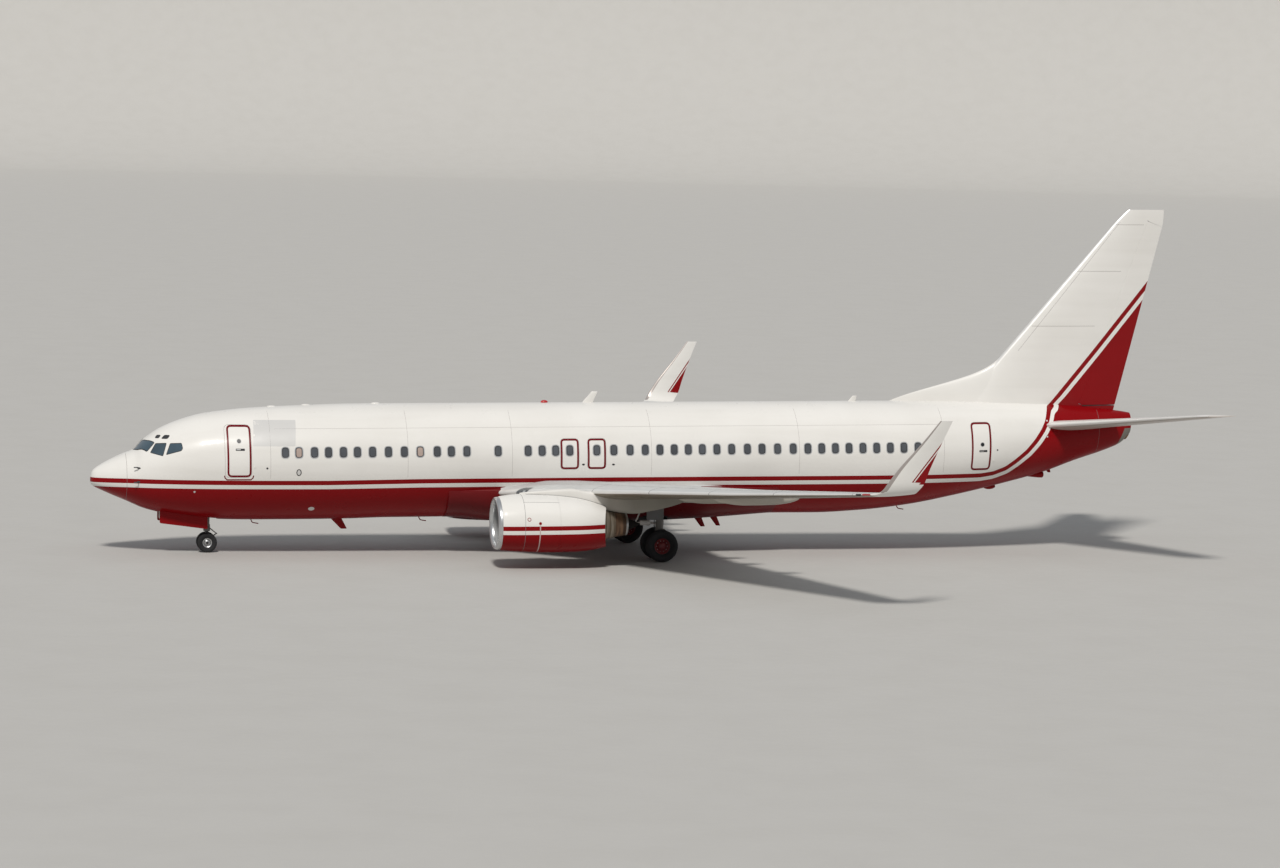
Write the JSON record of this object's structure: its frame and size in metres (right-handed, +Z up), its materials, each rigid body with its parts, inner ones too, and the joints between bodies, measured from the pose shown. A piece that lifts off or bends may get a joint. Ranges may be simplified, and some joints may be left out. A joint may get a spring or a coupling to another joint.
{
  "type": "airliner",
  "caption": "Twin-engined single-aisle jet airliner with blended winglets, parked on its landing gear, with turning fans, wheels, nose steering and flight controls.",
  "frame": {"origin": "on the ground under the middle of the aircraft's overall box", "axes": "+X aft from the nose to the tail, +Y to starboard, +Z up"},
  "size_m": [39.3301, 35.796, 12.5249],
  "materials": {
    "white_paint": "glossy white with light grime",
    "red_paint": "glossy crimson",
    "grey_paint": "satin light grey",
    "bare_metal": "polished bare metal",
    "nozzle_metal": "heat-tinted bronze brown",
    "dark_metal": "satin dark metal",
    "strut_paint": "semi-gloss grey-white",
    "tyre_rubber": "matt black"
  },
  "bodies": {
    "airframe": {"fuselage": "white_paint", "radome": "white_paint", "tail_cone": "red_paint", "belly_fairing": "red_paint", "forward_entry_door": "white_paint", "forward_service_door": "white_paint", "aft_entry_door": "white_paint", "aft_service_door": "white_paint", "wing_left": "grey_paint", "wing_right": "grey_paint", "winglet_left": "white_paint", "winglet_right": "white_paint", "flap_outer_left": "grey_paint", "flap_outer_right": "grey_paint", "flap_inner_left": "grey_paint", "flap_inner_right": "grey_paint", "inlet_lip_left": "bare_metal", "inlet_lip_right": "bare_metal", "fan_cowl_left": "white_paint", "fan_cowl_right": "white_paint", "reverser_sleeve_left": "white_paint", "reverser_sleeve_right": "white_paint", "engine_core_left": "nozzle_metal", "engine_core_right": "nozzle_metal", "pylon_left": "white_paint", "pylon_right": "white_paint", "fin": "white_paint", "dorsal_fin": "white_paint", "stabiliser_left": "grey_paint", "stabiliser_right": "grey_paint", "main_leg_left": "strut_paint", "main_leg_right": "strut_paint", "main_side_strut_left": "strut_paint", "main_side_strut_right": "strut_paint", "nose_leg": "strut_paint", "nose_door_left": "red_paint", "nose_door_right": "red_paint"},
    "nose_steering": {"nose_steering": "strut_paint"},
    "nose_wheels": {"nose_wheels": "bare_metal", "nose_tyre_left": "tyre_rubber", "nose_tyre_right": "tyre_rubber"},
    "main_wheels_left": {"main_wheels_left": "red_paint", "main_tyre_inner_left": "tyre_rubber", "main_tyre_outer_left": "tyre_rubber"},
    "fan_left": {"fan_left": "dark_metal"},
    "main_wheels_right": {"main_wheels_right": "red_paint", "main_tyre_inner_right": "tyre_rubber", "main_tyre_outer_right": "tyre_rubber"},
    "fan_right": {"fan_right": "dark_metal"},
    "rudder": {"rudder": "red_paint"},
    "elevator_left": {"elevator_left": "grey_paint"},
    "elevator_right": {"elevator_right": "grey_paint"},
    "aileron_left": {"aileron_left": "grey_paint"},
    "aileron_right": {"aileron_right": "grey_paint"},
    "overwing_exit_left_1": {"overwing_exit_left_1": "white_paint"},
    "overwing_exit_left_2": {"overwing_exit_left_2": "white_paint"},
    "overwing_exit_right_1": {"overwing_exit_right_1": "white_paint"},
    "overwing_exit_right_2": {"overwing_exit_right_2": "white_paint"}
  },
  "joints": [
    {"name": "nose_steering_turn", "type": "hinge", "parent": "airframe", "child": "nose_steering", "pos_m": [-15.625, 0, 0.9], "axis": [0, 0, 1], "range_deg": [-78, 78]},
    {"name": "nose_wheels_roll", "type": "hinge", "parent": "nose_steering", "child": "nose_wheels", "pos_m": [-15.625, 0, 0.343], "axis": [0, 1, 0], "continuous": true},
    {"name": "main_wheels_left_roll", "type": "hinge", "parent": "airframe", "child": "main_wheels_left", "pos_m": [-0.025, -2.86, 0.565], "axis": [0, 1, 0], "continuous": true},
    {"name": "main_wheels_right_roll", "type": "hinge", "parent": "airframe", "child": "main_wheels_right", "pos_m": [-0.025, 2.86, 0.565], "axis": [0, 1, 0], "continuous": true},
    {"name": "fan_left_spin", "type": "hinge", "parent": "airframe", "child": "fan_left", "pos_m": [-5.23417, -4.83, 1.54152], "axis": [0.9999, 0, 0.011], "continuous": true},
    {"name": "fan_right_spin", "type": "hinge", "parent": "airframe", "child": "fan_right", "pos_m": [-5.23417, 4.83, 1.54152], "axis": [0.9999, 0, 0.011], "continuous": true},
    {"name": "rudder_turn", "type": "hinge", "parent": "airframe", "child": "rudder", "pos_m": [16.22464, 0, 5.40008], "axis": [0.3419, 0, 0.9397], "range_deg": [-26, 26]},
    {"name": "elevator_right_turn", "type": "hinge", "parent": "airframe", "child": "elevator_right", "pos_m": [16.95227, 1.15, 4.71105], "axis": [0.3655, 0.9214, 0.1321], "range_deg": [-20, 20]},
    {"name": "elevator_left_turn", "type": "hinge", "parent": "airframe", "child": "elevator_left", "pos_m": [19.23333, -6.9, 5.53533], "axis": [-0.3655, 0.9214, -0.1321], "range_deg": [-20, 20]},
    {"name": "aileron_right_turn", "type": "hinge", "parent": "airframe", "child": "aileron_right", "pos_m": [3.0956, 12.9, 3.42449], "axis": [0.295, 0.9502, 0.1004], "range_deg": [-20, 20]},
    {"name": "aileron_left_turn", "type": "hinge", "parent": "airframe", "child": "aileron_left", "pos_m": [4.16665, -16.35, 3.78903], "axis": [-0.295, 0.9502, -0.1004], "range_deg": [-20, 20]},
    {"name": "overwing_exit_left_1_open", "type": "hinge", "parent": "airframe", "child": "overwing_exit_left_1", "pos_m": [-3.09318, -1.72166, 4.18726], "axis": [-0.9999, 0, -0.011], "range_deg": [0, 85]},
    {"name": "overwing_exit_left_2_open", "type": "hinge", "parent": "airframe", "child": "overwing_exit_left_2", "pos_m": [-2.12324, -1.72166, 4.19795], "axis": [-0.9999, 0, -0.011], "range_deg": [0, 85]},
    {"name": "overwing_exit_right_1_open", "type": "hinge", "parent": "airframe", "child": "overwing_exit_right_1", "pos_m": [-3.09318, 1.72166, 4.18726], "axis": [0.9999, 0, 0.011], "range_deg": [0, 85]},
    {"name": "overwing_exit_right_2_open", "type": "hinge", "parent": "airframe", "child": "overwing_exit_right_2", "pos_m": [-2.12324, 1.72166, 4.19795], "axis": [0.9999, 0, 0.011], "range_deg": [0, 85]}
  ],
  "couplings": [
    {"joint": "elevator_left_turn", "follows": "elevator_right_turn", "ratio": 1},
    {"joint": "aileron_left_turn", "follows": "aileron_right_turn", "ratio": -1}
  ]
}
